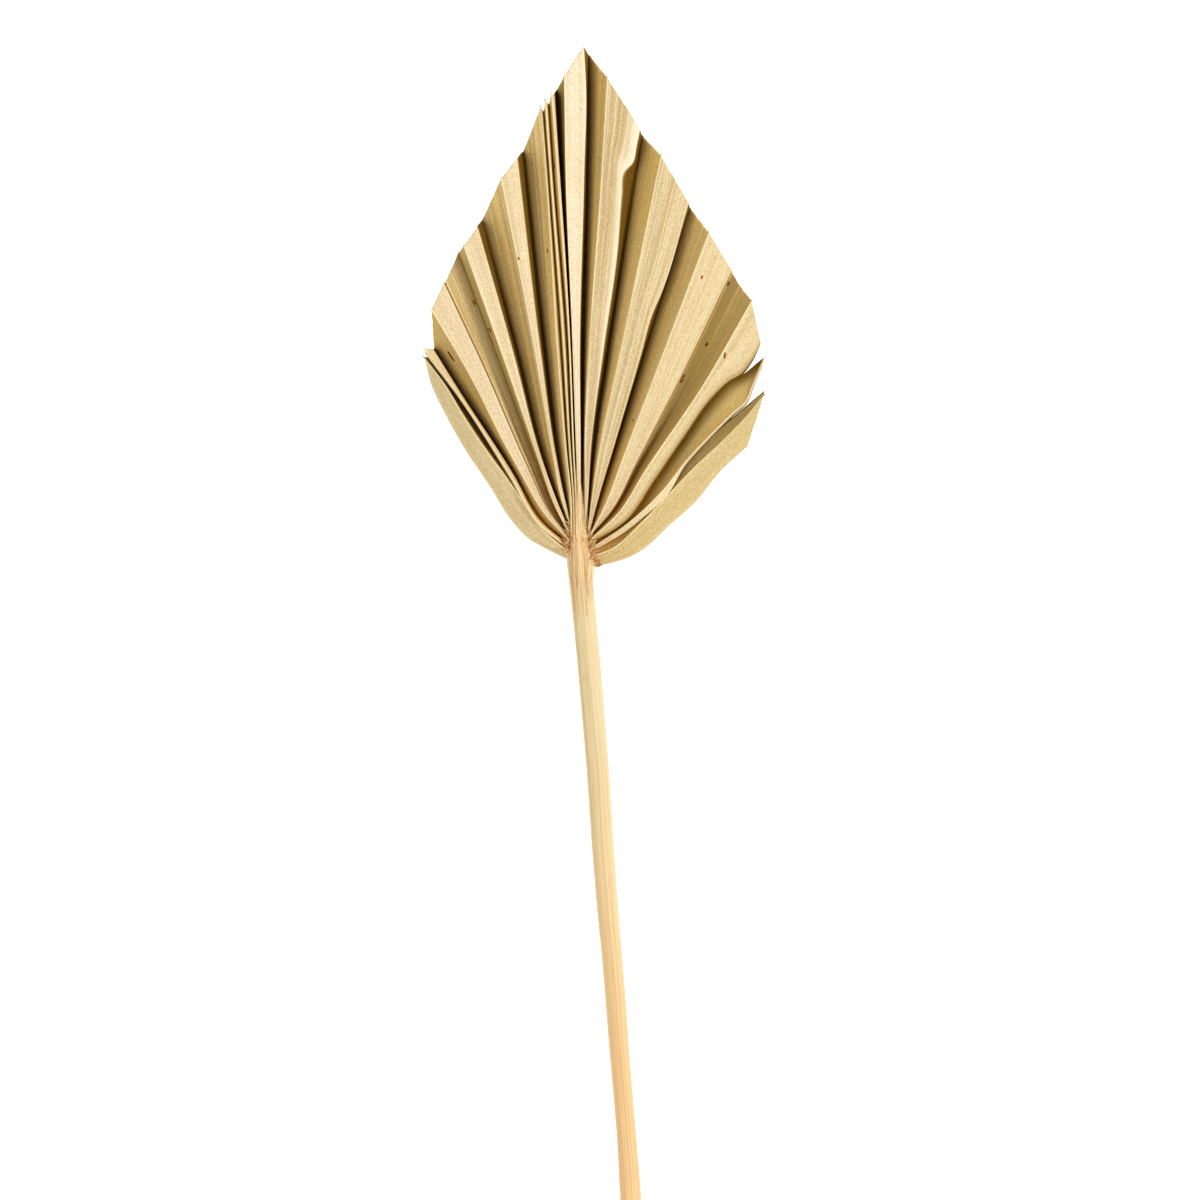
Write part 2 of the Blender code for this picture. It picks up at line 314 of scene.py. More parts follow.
def fractions(count):
    """Places across a face from 0 to 1, closer together at the folds."""
    return (1 - np.cos(np.pi * np.arange(count + 1) / count)) / 2


def bell(distance, width):
    return np.exp(-((distance / width) ** 2))


def face_marks(kind, left, right, step, width):
    """What the material needs to know at one place across a face, for every row."""
    here = np.ones_like(width)
    from_left, from_right = width * step, width * (1 - step)
    marks = {mark: 0.0 * here for mark in MARKS}
    for rail, distance in ((left, from_left), (right, from_right)):
        # A ridge gives a pale rib that also carries a painted highlight; a rim gives a painted highlight and its
        # red.
        if rail.kind == RIDGE:
            marks["crest"] = np.maximum(marks["crest"], bell(distance, RIB_WIDTH))
        if rail.kind == RIM:
            highlight_spread = SPREAD_HIGHLIGHT_SHARE * rail.pale * np.maximum(width - SPREAD_HIGHLIGHT_FROM, 0.0)
            reach = RIM_REACH + highlight_spread if kind == LIGHT else WALL_RIM_REACH
            marks["rim"] = np.maximum(marks["rim"], (0.5 + 0.5 * rail.pale) * bell(distance, reach))
            marks["rust"] = np.maximum(marks["rust"], rail.rust * bell(distance, RUST_REACH))
    # Painted shade follows: near a groove's floor, on walls, slopes and slits, on a lit face towards a curled rim,
    # and over dimmed faces.
    if kind == MEDIUM:
        past_dark = np.maximum(from_left - DARK_SHARE * left.depth, 0.0)
        fade = FADE_PER_WIDTH * width + FADE_SHARE * left.depth
        marks["shade"] = 1.0 - CREST_LIGHT * marks["crest"]
        marks["painted_shade"] = min(1.0, left.depth / FULL_SHADE_REACH) * np.exp(-past_dark / fade)
    elif kind == WALL and right.kind == STEP:
        marks["shade"] = here
        marks["rust"] = STEP_RUST * left.rust * here * max(0.0, 1.0 - STEP_RUST_FADE * step)
        marks["painted_shade"] = here * min(STEP_DARKEST, STEP_DARKENING * step)
    elif kind == WALL:
        marks["shade"] = here
        marks["painted_shade"] = here * min(1.0, DARKENING * step)
    elif kind == SLOPE:
        fade = SLOPE_FADE_PER_WIDTH * width + SLOPE_FADE
        marks["shade"] = here * SLOPE_SHADE
        marks["painted_shade"] = min(SLOPE_DARKEST, right.depth / FULL_SHADE_REACH) * np.exp(-from_right / fade)
    elif kind == LAYER:
        marks["painted_shade"] = bell(from_right, SLIT_REACH)
        marks["shade"] = SLIT_SHADE * here * step
    elif right.curl:
        marks["painted_shade"] = right.curl * bell(from_right, RIM_SHADE_REACH)
        marks["rim"] = 0.0 * here
    marks["painted_shade"] = np.maximum(marks["painted_shade"], left.dim * min(1.0, DARKENING * step))
    marks["streak"] = left.streak * here
    marks["cream"] = left.cream * here
    return marks


def hang_columns(rails, shares):
    """Every column of a sheet: its points, its marks, and its place across, in millimetres where streaks are
    counted."""
    lines = [along(rail.points, shares) for rail in rails]
    counted = round(STREAK_RADIUS_SHARE * (len(shares) - 1))
    columns = []
    across = 0.0
    for index, (left, right) in enumerate(zip(lines, lines[1:])):
        kind = face_kind(rails[index], rails[index + 1])
        width = np.linalg.norm((right - left)[:, :2], axis=1)
        radius = np.hypot(left[:, 0], left[:, 1])
        steps = fractions(COLUMNS[kind])
        for step in steps if index == len(lines) - 2 else steps[:-1]:
            points = left * (1 - step) + right * step
            swell = SWELL[kind] * 4 * step * (1 - step)
            points[:, 2] += swell * np.clip(width / FULL_SWELL_WIDTH, 0, 1.5)
            marks = face_marks(kind, rails[index], rails[index + 1], step, width)
            points[:, 2] += RIB_HEIGHT * marks["crest"]
            if rails[index + 1].pale:  # its streaks fan out, so that they don't bend with the tear
                grain = step * width / radius * radius[counted]
            else:
                grain = step * width[counted] * np.ones_like(width)
            columns.append((points, marks, across + grain))
        across += width[counted]
    return columns


# Unevenness of a sheet: height in millimetres and how quickly it changes across and along.
RIPPLE, RIPPLE_ACROSS, RIPPLE_ALONG = 0.5, 0.09, 0.03
FINE_RIPPLE, FINE_ACROSS, FINE_ALONG = 0.12, 0.5, 0.12
JAG, JAG_SCALE, RIB_OVERHANG = 0.35, 0.9, 0.9  # the cut margin


def make_sheet(name, rails, seed):
    """A grid hung between its rails, thickened, with its marks and a map of across and along in millimetres."""
    shares = np.linspace(0, 1, ROWS + 1) ** ROW_CROWDING
    columns = hang_columns(rails, shares)
    bm = bmesh.new()
    bmesh.ops.create_grid(bm, x_segments=len(columns) - 1, y_segments=ROWS, size=1.0)
    layers = {mark: bm.verts.layers.float.new(mark) for mark in MARKS}
    place = {}
    for vert in bm.verts:
        column = round((vert.co.x + 1) / 2 * (len(columns) - 1))
        row = round((vert.co.y + 1) / 2 * ROWS)
        points, marks, across = columns[column]
        spot = Vector(points[row])
        ripple = noise.noise(Vector((spot.x * RIPPLE_ACROSS, spot.y * RIPPLE_ALONG, seed))) * RIPPLE * shares[row]
        fine = noise.noise(Vector((spot.x * FINE_ACROSS, spot.y * FINE_ALONG, seed + 5))) * FINE_RIPPLE
        spot.z += ripple + fine
        if row >= ROWS - 1:
            jag = noise.noise(Vector((spot.x * JAG_SCALE, spot.y * JAG_SCALE, seed + 9)))
            outwards = Vector(points[ROWS] - points[ROWS - 4]).normalized()
            spot += outwards * (JAG * jag + RIB_OVERHANG * float(marks["crest"][row]))
        vert.co = HASTULA + spot * MM
        for mark, layer in layers.items():
            vert[layer] = float(marks[mark][row])
        place[vert] = (float(across[row]), float(np.hypot(*points[row][:2])))
    grain = bm.loops.layers.uv.new("grain")
    for face in bm.faces:
        for loop in face.loops:
            loop[grain].uv = place[loop.vert]
    bm.normal_update()
    piece = finish_mesh(bm, name)
    wall = piece.modifiers.new("wall", "SOLIDIFY")
    wall.thickness = SHEET_THICKNESS * MM
    wall.offset = -1.0
    return piece


def finish_mesh(bm, name):
    mesh = bpy.data.meshes.new(name)
    bm.to_mesh(mesh)
    bm.free()
    mesh.shade_smooth()
    piece = bpy.data.objects.new(name, mesh)
    bpy.context.scene.collection.objects.link(piece)
    return piece


def loft(bm, rings, place=None, spots=None):
    """A closed skin through these rings of points, in millimetres from the hastula. place, if given, is filled
    with each vertex's spot on the map, from its ring and its number in the ring."""
    made = bmesh.ops.create_circle(bm, segments=len(rings[0]), radius=1.0)["verts"]
    edges = list(dict.fromkeys(edge for vert in made for edge in vert.link_edges))
    first = edges
    for index, ring in enumerate(rings):
        if index:
            grown = bmesh.ops.extrude_edge_only(bm, edges=edges)["geom"]
            edges = [item for item in grown if isinstance(item, bmesh.types.BMEdge)]
            made = [item for item in grown if isinstance(item, bmesh.types.BMVert)]
        for number, (vert, spot) in enumerate(zip(made, ring)):
            vert.co = HASTULA + Vector(spot) * MM
            if place is not None:
                place[vert] = spots(index, number)
    bmesh.ops.holes_fill(bm, edges=first + edges, sides=len(rings[0]))


def order_faces(bm):
    """Sorts lofted faces by their vertices, because extruding makes them in another order each run."""
    bm.verts.index_update()
    count = len(bm.verts)
    ends = {face: (min(v.index for v in face.verts), max(v.index for v in face.verts)) for face in bm.faces}
    bm.faces.sort(key=lambda face: ends[face][0] * count + ends[face][1])


# ---------------------------------------------------------------- petiole

# Distance along +Y, centre line's X, half width, height: the petiole and the tongue that it sends over the blade.
PETIOLE = (
    (-270.0, 20.2, 3.85, 6.6),
    (-234.0, 17.6, 3.85, 6.6),
    (-208.0, 15.7, 3.55, 6.6),
    (-178.0, 13.3, 3.65, 6.7),
    (-149.0, 11.0, 3.75, 6.8),
    (-114.0, 7.9, 4.0, 6.9),
    (-82.0, 5.9, 4.1, 7.1),
    (-51.0, 3.2, 4.2, 7.3),
    (-24.0, 0.9, 4.3, 7.5),
    (-12.0, -0.2, 4.5, 7.8),
    (-5.0, -0.4, 5.0, 8.0),
    (0.0, -0.9, 4.4, 8.1),
    (6.0, -1.4, 3.2, 7.8),
    (12.0, -1.6, 2.7, 7.2),
    (19.0, -1.7, 2.3, 6.6),
    (25.0, -1.8, 1.9, 6.0),
    (34.0, -2.0, 1.3, 5.4),
    (46.0, -2.2, 0.6, 4.8),
)
PETIOLE_SIDES = 96
PETIOLE_ROWS = 260
FLAT_DEPTH = 0.32  # how much of the round section the flat underside takes away, of its half height
TONGUE_TIP = 0.4  # least half width
PETIOLE_MAP_WIDTH = 24.0  # millimetres round the section on its map

# Two grooves and two sets of flutes along the top, all in shares of the section: place across, width and depth.
GROOVE, GROOVE_WIDTH, GROOVE_DEPTH = -0.30, 0.10, 0.05
GROOVE_DRIFT = 0.0008  # how far the first groove moves across for each millimetre along +Y
SMALL_GROOVE, SMALL_GROOVE_WIDTH, SMALL_GROOVE_DEPTH = 0.34, 0.08, 0.03
FLUTES, FLUTE_DRIFT, FLUTE_DEPTH = 19, 0.01, 0.010
FINE_FLUTES, FINE_FLUTE_SHIFT, FINE_FLUTE_DEPTH = 37, 1.0, 0.007

# Unevenness in millimetres above the flat underside.
UNEVEN_FROM, UNEVEN_HEIGHT, UNEVEN_SIDE = 0.6, 0.10, 0.16


def petiole_at(y):
    """Centre line's X, half width and height at this distance along +Y."""
    stations = np.array(PETIOLE)
    return tuple(float(np.interp(y, stations[:, 0], stations[:, column])) for column in (1, 2, 3))


def petiole_section(y, x, half_width, height):
    half_height = height / (2 - FLAT_DEPTH)
    ring = []
    for index in range(PETIOLE_SIDES):
        angle = math.tau * (index + 0.5) / PETIOLE_SIDES
        rise, out = math.sin(angle), math.cos(angle)
        groove = GROOVE_DEPTH * bell(out - GROOVE + GROOVE_DRIFT * y, GROOVE_WIDTH)
        groove += SMALL_GROOVE_DEPTH * bell(out - SMALL_GROOVE, SMALL_GROOVE_WIDTH)
        flute = FLUTE_DEPTH * math.sin(FLUTES * out + FLUTE_DRIFT * y)
        flute += FINE_FLUTE_DEPTH * math.sin(FINE_FLUTES * out + FINE_FLUTE_SHIFT)
        swell = 1 + (flute - groove) * max(rise, 0.0)
        low = max(rise * swell, FLAT_DEPTH - 1)
        ring.append(Vector((x + half_width * out, y, (low + 1 - FLAT_DEPTH) * half_height)))
    return ring


def make_petiole():
    stations = np.array(PETIOLE)
    rows = along(stations[:, [1, 0, 2]], np.linspace(0, 1, PETIOLE_ROWS + 1))
    rings = []
    for x, y, half_width in rows:
        ring = petiole_section(y, x, max(half_width, TONGUE_TIP), petiole_at(y)[2])
        for spot in ring:
            if spot.z > UNEVEN_FROM:
                spot.z += UNEVEN_HEIGHT * noise.noise(Vector((spot.x * 0.5, y * 0.05, 3.0)))
                spot.x += UNEVEN_SIDE * noise.noise(Vector((spot.z * 0.1, y * 0.04, 7.0)))
        rings.append(ring)
    bm = bmesh.new()
    place = {}
    loft(bm, rings, place, lambda row, side: (side / PETIOLE_SIDES * PETIOLE_MAP_WIDTH, float(rows[row][1])))
    order_faces(bm)
    grain = bm.loops.layers.uv.new("grain")
    for face in bm.faces:
        for loop in face.loops:
            loop[grain].uv = place[loop.vert]
    bmesh.ops.recalc_face_normals(bm, faces=bm.faces)
    piece = finish_mesh(bm, "petiole_stem")
    piece.data.set_sharp_from_angle(angle=math.radians(50))
    return piece


# ---------------------------------------------------------------- fibres and scars


THIN_END = 0.25  # a fibre's radius at its blunt ends, as a share of its own
BLUNT_SHARES = (0.06, 0.94)


def strand_rings(path, radius, sides=6):
    """Rings of a fibre along this path, thickest in the middle."""
    rings = []
    for index, spot in enumerate(path):
        before, after = path[max(index - 1, 0)], path[min(index + 1, len(path) - 1)]
        side = (after - before).cross(Vector((0, 0, 1))).normalized()
        up = side.cross(after - before).normalized()
        share = index / (len(path) - 1)
        share = min(max(share, BLUNT_SHARES[0]), BLUNT_SHARES[1])
        size = radius * (THIN_END + (1 - THIN_END) * math.sin(math.pi * share) ** 0.5)
        turns = [math.tau * number / sides for number in range(sides)]
        rings.append([spot + size * (math.cos(turn) * side + math.sin(turn) * up) for turn in turns])
    return rings


def make_strands(name, strands):
    """Fibres, each a path, a radius and a tone from straw to red brown."""
    bm = bmesh.new()
    tone = bm.verts.layers.float.new("tone")
    for path, radius, shade in strands:
        older = set(bm.verts)
        loft(bm, strand_rings(path, radius))
        for vert in bm.verts:
            if vert not in older:
                vert[tone] = shade
    order_faces(bm)
    bmesh.ops.recalc_face_normals(bm, faces=bm.faces)
    return finish_mesh(bm, name)


TONGUE_STRANDS = 70
TONGUE_STEPS = 14
RIB_COVER = 8.3  # height of the fibres where they lie over the ribs


def tongue_strands(rng):
    """Fibres that run up the petiole's top, over the tongue and out along the middle ribs."""
    strands = []
    for number in range(TONGUE_STRANDS):
        lane = -0.90 + 1.80 * (number + rng.uniform(0.1, 0.9)) / TONGUE_STRANDS
        low, high = rng.uniform(-30, 1), rng.uniform(10, 33)
        lift = rng.uniform(-0.05, 0.14)
        path = []
        for step in range(TONGUE_STEPS + 1):
            y = low + (high - low) * step / TONGUE_STEPS
            x, half_width, height = petiole_at(y)
            out = lane * (0.96 + 0.05 * math.sin(0.2 * y + number))
            rise = math.sqrt(max(1 - out * out, 0.02))
            half_height = height / (2 - FLAT_DEPTH)
            z = (rise + 1 - FLAT_DEPTH) * half_height
            if y > 3:
                z = max(z, RIB_COVER - 0.9 * out * out)
            path.append(Vector((x + half_width * out, y, z + lift)))
        path[0].z -= 0.3
        path[-1].z -= 0.3
        radius = rng.uniform(0.07, 0.18)
        strands.append((path, radius, rng.choice((0.0, 0.0, 0.1, 0.25, 0.45, 0.7)) + 0.3 * abs(lane) ** 3))
    return strands


SCAR_STRANDS = 420
SCAR_SHARES = (0, 0.2, 0.4, 0.6, 0.8, 1.0)  # where a torn fibre's path is given, along its length
LEFT_ROOT, RIGHT_ROOT = (-2.5, 12.0, 2.0), (-7.0, 10.5, 1.0)  # where they grow along +Y: first, last, most


def scar_strands(rng):
    """Short torn fibres round the hastula, pointing out along the folds."""
    strands = []
    for number in range(SCAR_STRANDS):
        side = -1 if number % 2 else 1
        y = rng.triangular(*(LEFT_ROOT if side < 0 else RIGHT_ROOT))
        x, half_width, height = petiole_at(y)
        inner = 0.50 if side < 0 else 0.25
        edge = x + side * (half_width * rng.uniform(inner, 0.95) + rng.uniform(0.0, 1.5))
        share = (y + 6) / 16
        lean = math.radians(side * (78 - 58 * share + rng.uniform(-32, 26)))
        length = rng.uniform(1.0, 3.2)
        base = Vector((edge, y - 0.8, rng.uniform(5.4, 8.0) - 1.0 * (1 - share)))
        out = Vector((math.sin(lean), math.cos(lean), rng.uniform(-0.35, 0.25)))
        bend = Vector((rng.uniform(-0.3, 0.3), rng.uniform(-0.3, 0.3), rng.uniform(-0.2, 0.5)))
        path = [base + out * length * part + bend * math.sin(math.pi * part) * 0.8 for part in SCAR_SHARES]
        strands.append((path, rng.uniform(0.06, 0.15), rng.choice((0.1, 0.35, 0.55, 0.8, 1.0))))
    return strands


LUMP_DEPTH, SMALL_LUMP_DEPTH = 0.22, 0.10

# Knuckles of scar tissue that close the blade's root: centre, half sizes.
SCARS = (
    ((-3.9, 2.2, 3.4), (2.4, 5.2, 3.4)),
    ((-3.0, 8.6, 4.2), (1.7, 5.4, 3.2)),
    ((2.9, 1.6, 3.4), (2.1, 6.4, 3.3)),
    ((1.2, 8.6, 4.2), (1.3, 5.0, 3.2)),
    ((4.3, -3.9, 2.8), (2.5, 2.6, 2.6)),
    ((5.6, -5.6, 2.0), (1.7, 1.2, 1.8)),
)


def make_scars():
    bm = bmesh.new()
    for number, (centre, half) in enumerate(SCARS):
        ball = bmesh.ops.create_icosphere(bm, subdivisions=4, radius=1.0)["verts"]
        for vert in ball:
            lump = 1 + LUMP_DEPTH * noise.noise(vert.co * 2.3 + Vector((number * 3.0, 0, 0)))
            lump += SMALL_LUMP_DEPTH * noise.noise(vert.co * 7.0)
            spot = Vector(centre) + Vector([half[axis] * vert.co[axis] * lump for axis in range(3)])
            spot.z = max(spot.z, 0.1)
            vert.co = HASTULA + spot * MM
    return finish_mesh(bm, "root_scars")


SPECK_HEIGHT = 0.10
SPECK_SHARE = 0.85  # the size of a speck's smooth ball, of its length and width before it is made ragged

# Specks on the blade: X, Y, length, width, turn in degrees, tone.
SPECKS = (
    (52.7, 95.7, 1.2, 0.7, 20, 0.9), (44.9, 73.8, 1.1, 0.7, 30, 1.0), (51.3, 69.3, 1.5, 0.5, 10, 0.8),
    (36.4, 62.1, 1.0, 0.7, 30, 0.9), (35.6, 60.5, 1.4, 0.9, 60, 0.8), (-32.9, 78.4, 1.1, 0.6, -20, 1.0),
    (-39.0, 88.6, 1.3, 0.6, -25, 0.6), (-47.4, 69.8, 2.0, 0.6, -30, 1.0), (-46.6, 68.6, 1.8, 0.6, -30, 0.9),
    (-6.4, 49.4, 1.0, 0.5, 0, 0.9), (-4.3, 36.6, 1.3, 0.5, 0, 0.8), (-12.2, 106.8, 1.0, 0.5, -5, 0.9),
    (-17.2, 100.0, 0.9, 0.5, -10, 1.0), (-22.8, 103.8, 0.8, 0.6, -10, 0.5), (-9.6, 137.1, 1.0, 0.6, -5, 0.6),
    (1.7, 112.9, 0.8, 0.6, 0, 1.0), (43.0, 97.2, 0.9, 0.5, 20, 0.6), (12.9, 104.4, 0.9, 0.4, 5, 1.0),
    (6.0, 42.0, 0.8, 0.5, 0, 0.9), (2.6, 158.0, 0.5, 0.4, 0, 0.9), (18.6, 46.0, 0.7, 0.5, 20, 0.6),
)


def tree_of(piece):
    return BVHTree.FromPolygons([v.co for v in piece.data.vertices], [p.vertices for p in piece.data.polygons])


def surface_height(trees, x, y):
    """Height of the highest of these surfaces under this place, in millimetres."""
    best = 0.0
    top = HASTULA + Vector((x * MM, y * MM, 0.1))
    for tree in trees:
        hit = tree.ray_cast(top, Vector((0, 0, -1)))[0]
        if hit is not None:
            best = max(best, hit.z / MM)
    return best


def make_specks(pieces):
    """Small dark scabs lying on the blade."""
    bm = bmesh.new()
    tone = bm.verts.layers.float.new("tone")
    trees = [tree_of(piece) for piece in pieces]
    for number, (x, y, length, width, turn, shade) in enumerate(SPECKS):
        ball = bmesh.ops.create_icosphere(bm, subdivisions=2, radius=1.0)["verts"]
        angle = -math.radians(turn)
        height = surface_height(trees, x, y)
        for vert in ball:
            ragged = 1 + 0.5 * noise.noise(vert.co * 2.0 + Vector((number * 5.0, 0, 0)))
            across = vert.co.x * width * SPECK_SHARE * ragged
            ahead = vert.co.y * length * SPECK_SHARE * ragged
            spot = Vector((
                x + across * math.cos(angle) - ahead * math.sin(angle),
                y + across * math.sin(angle) + ahead * math.cos(angle),
                height + SPECK_HEIGHT * vert.co.z,
            ))
            vert.co = HASTULA + spot * MM
            vert[tone] = shade
    return finish_mesh(bm, "specks")


# ---------------------------------------------------------------- materials


class Nodes:
    """Short names for building one material's nodes."""

    def __init__(self, name):
        self.material = bpy.data.materials.new(name)
        self.material.use_nodes = True
        self.tree = self.material.node_tree
        self.shader = self.tree.nodes["Principled BSDF"]

    def add(self, kind, inputs=None, **settings):
        node = self.tree.nodes.new(kind)
        for key, value in settings.items():
            setattr(node, key, value)
        for key, value in (inputs or {}).items():
            self.plug(value, node.inputs[key])
        return node

    def plug(self, value, socket):
        if isinstance(value, bpy.types.NodeSocket):
            self.tree.links.new(value, socket)
        else:
            socket.default_value = value

    def attribute(self, name):
        return self.add("ShaderNodeAttribute", attribute_name=name).outputs["Fac"]

    def grain(self):
        """Millimetres across the grain and along it."""
        return self.add("ShaderNodeUVMap", uv_map="grain").outputs["UV"]

    def along(self, grain):
        return self.add("ShaderNodeSeparateXYZ", {"Vector": grain}).outputs["Y"]

    def plan(self):
        """Metres along X, Y and Z."""
        return self.add("ShaderNodeTexCoord").outputs["Object"]

    def stretch(self, vector, scale, shift=(0.0, 0.0, 0.0)):
        return self.add("ShaderNodeMapping", {"Vector": vector, "Scale": scale, "Location": shift}).outputs["Vector"]

    def noise(self, vector, scale, detail=4.0, roughness=0.55, shift=(0.0, 0.0, 0.0)):
        """Noise with this many waves to a unit of the vector, along each axis."""
        place = self.stretch(vector, scale, shift)
        values = {"Vector": place, "Scale": 1.0, "Detail": detail, "Roughness": roughness}
        return self.add("ShaderNodeTexNoise", values).outputs["Fac"]

    def span(self, value, low, high, to_low=0.0, to_high=1.0):
        values = {"Value": value, "From Min": low, "From Max": high, "To Min": to_low, "To Max": to_high}
        return self.add("ShaderNodeMapRange", values).outputs["Result"]

    def math(self, operation, first, second):
        node = self.add("ShaderNodeMath", operation=operation)
        self.plug(first, node.inputs[0])
        self.plug(second, node.inputs[1])
        return node.outputs[0]

    def times(self, first, second):
        return self.math("MULTIPLY", first, second)

    def mix(self, share, first, second):
        node = self.add("ShaderNodeMix", data_type="RGBA")
        self.plug(share, node.inputs["Factor"])
        self.plug(first, node.inputs[6])
        self.plug(second, node.inputs[7])
        return node.outputs[2]

    def bump(self, height, distance, strength):
        values = {"Height": height, "Distance": distance, "Strength": strength}
        return self.add("ShaderNodeBump", values).outputs["Normal"]

    def finish(self, values):
        """The material, with these values plugged into its shader."""
        for key, value in values.items():
            self.plug(value, self.shader.inputs[key])
        return self.material


# Colours of the leaf.
LIGHT_FACE = (0.645, 0.515, 0.26, 1.0)
CREAM_FACE = (0.98, 0.87, 0.70, 1.0)
# The painted shade of the faces turned from the key lamp, away from the root and near it.
SHADE_FACE = (0.90, 0.635, 0.20, 1.0)
NEAR_SHADE = (0.86, 0.585, 0.14, 1.0)
# A rib's pale line with a painted highlight on it, and the painted highlight along a rim.
CREST_PALE_AND_HIGHLIGHT = (0.97, 0.83, 0.50, 1.0)
RIM_HIGHLIGHT = (0.96, 0.86, 0.68, 1.0)
RUST = (0.72, 0.34, 0.12, 1.0)
# Painted shade of grooves, walls and slits: the darkest, the darkest near the root, and the step between.
DARKEST_PAINTED_SHADE = (0.165, 0.090, 0.012, 1.0)
ROOT_PAINTED_SHADE = (0.46, 0.24, 0.04, 1.0)
DEEP_SHADE = (0.375, 0.27, 0.098, 1.0)
PATCH = (0.66, 0.50, 0.27, 1.0)
STREAK_DARK = (0.50, 0.355, 0.14, 1.0)
STREAK_PALE = (0.90, 0.76, 0.50, 1.0)
TORN_ROOT = (0.50, 0.22, 0.06, 1.0)
PORE = (0.42, 0.29, 0.10, 1.0)
VEIN = (0.66, 0.42, 0.22, 1.0)

# Its patterns: waves to a metre of the plan, or to a millimetre across the grain and along it.
PATCH_WAVES = (60.0, 35.0, 60.0)
BAND_WAVES = (0.42, 0.004, 1.0)
DARK_LINE_WAVES = (1.7, 0.010, 1.0)
PALE_LINE_WAVES = (1.3, 0.008, 1.0)
TORN_WAVES = (1.6, 0.05, 1.0)
MOTTLE_WAVES = (1900.0, 1500.0, 1000.0)
VEIN_WAVES = (3.2, 1.1, 1.0)
FIBRE_WAVES = (3.4, 0.02, 1.0)
PORE_WAVES = (1500.0, 1100.0, 1000.0)

# Distances from the hastula between which the painted shade of the shaded faces turns to its colour near the root,
# and the painted shade of the grooves to theirs.
NEAR_RANGE = (75.0, 20.0)
ROOT_RANGE = (52.0, 10.0)


def leaf_material():
    n = Nodes("dry_leaf")
    grain, plan = n.grain(), n.plan()
    along_grain = n.along(grain)
    near, root = n.span(along_grain, *NEAR_RANGE), n.span(along_grain, *ROOT_RANGE)
    crest, rim, rust, painted_shade, shade, streak, cream = (n.attribute(mark) for mark in MARKS)

    # The lit faces' colour, creamier on some, the painted shade of the faces turned from the key lamp, and broad
    # patches on them.
    colour = n.mix(cream, LIGHT_FACE, CREAM_FACE)
    colour = n.mix(shade, colour, n.mix(near, SHADE_FACE, NEAR_SHADE))
    patches = n.noise(plan, PATCH_WAVES, 3.0)
    colour = n.mix(n.span(patches, 0.45, 0.75, 0.0, 0.25), colour, PATCH)

    # Streaks along the grain, and the torn fibres of the root.
    bands = n.span(n.noise(grain, BAND_WAVES, 2.0, shift=(2.0, 9.0, 0.0)), 0.44, 0.58)
    colour = n.mix(n.times(bands, n.span(streak, 0, 1, 0.08, 0.75)), colour, STREAK_DARK)
    dark_lines = n.span(n.noise(grain, DARK_LINE_WAVES, 5.0, 0.62), 0.48, 0.62)
    colour = n.mix(n.times(dark_lines, n.span(streak, 0, 1, 0.08, 0.85)), colour, STREAK_DARK)
    pale_lines = n.span(n.noise(grain, PALE_LINE_WAVES, 4.0, 0.6, (7.0, 3.0, 0.0)), 0.49, 0.61)
    colour = n.mix(n.times(pale_lines, n.span(streak, 0, 1, 0.08, 0.80)), colour, STREAK_PALE)
    torn = n.span(n.noise(grain, TORN_WAVES, 4.0, 0.65, (5.0, 0.0, 0.0)), 0.50, 0.60)
    colour = n.mix(n.times(torn, n.times(n.math("POWER", root, 3.0), 0.7)), colour, TORN_ROOT)

    # Pores and small veins.
    mottle = n.noise(plan, MOTTLE_WAVES, 3.0, 0.62)
    colour = n.mix(n.span(mottle, 0.44, 0.62, 0.0, 0.36), colour, PORE)
    colour = n.mix(n.span(mottle, 0.50, 0.34, 0.0, 0.30), colour, STREAK_PALE)
    veins = n.span(n.noise(grain, VEIN_WAVES, 2.0, 0.5), 0.56, 0.62)
    colour = n.mix(n.times(veins, n.span(cream, 0.4, 1, 0.08, 0.38)), colour, VEIN)

    # The folds: ribs, pale and with a painted highlight, the painted highlight and red of the rims, then the painted
    # shade of the grooves, walls and slits.
    colour = n.mix(n.times(crest, 0.85), colour, CREST_PALE_AND_HIGHLIGHT)
    colour = n.mix(n.times(rim, 0.9), colour, RIM_HIGHLIGHT)
    colour = n.mix(n.times(rust, 0.8), colour, RUST)
    colour = n.mix(n.span(painted_shade, 0.0, 0.60), colour, n.mix(root, DEEP_SHADE, ROOT_PAINTED_SHADE))
    colour = n.mix(n.span(painted_shade, 0.45, 1.0), colour, n.mix(n.times(root, 0.7), DARKEST_PAINTED_SHADE, ROOT_PAINTED_SHADE))

    fibres = n.noise(grain, FIBRE_WAVES, 3.0)
    pores = n.noise(plan, PORE_WAVES, 3.0, shift=(0.3, 0.1, 0.0))
    relief = n.math("ADD", n.times(fibres, n.span(streak, 0, 1, 0.25, 1.3)), n.times(pores, 0.9))
    return n.finish({
        "Base Color": colour,
        "Normal": n.bump(relief, 0.00030, 0.9),
        "Roughness": n.span(mottle, 0.3, 0.7, 0.55, 0.75),
        "Specular IOR Level": 0.0,
    })


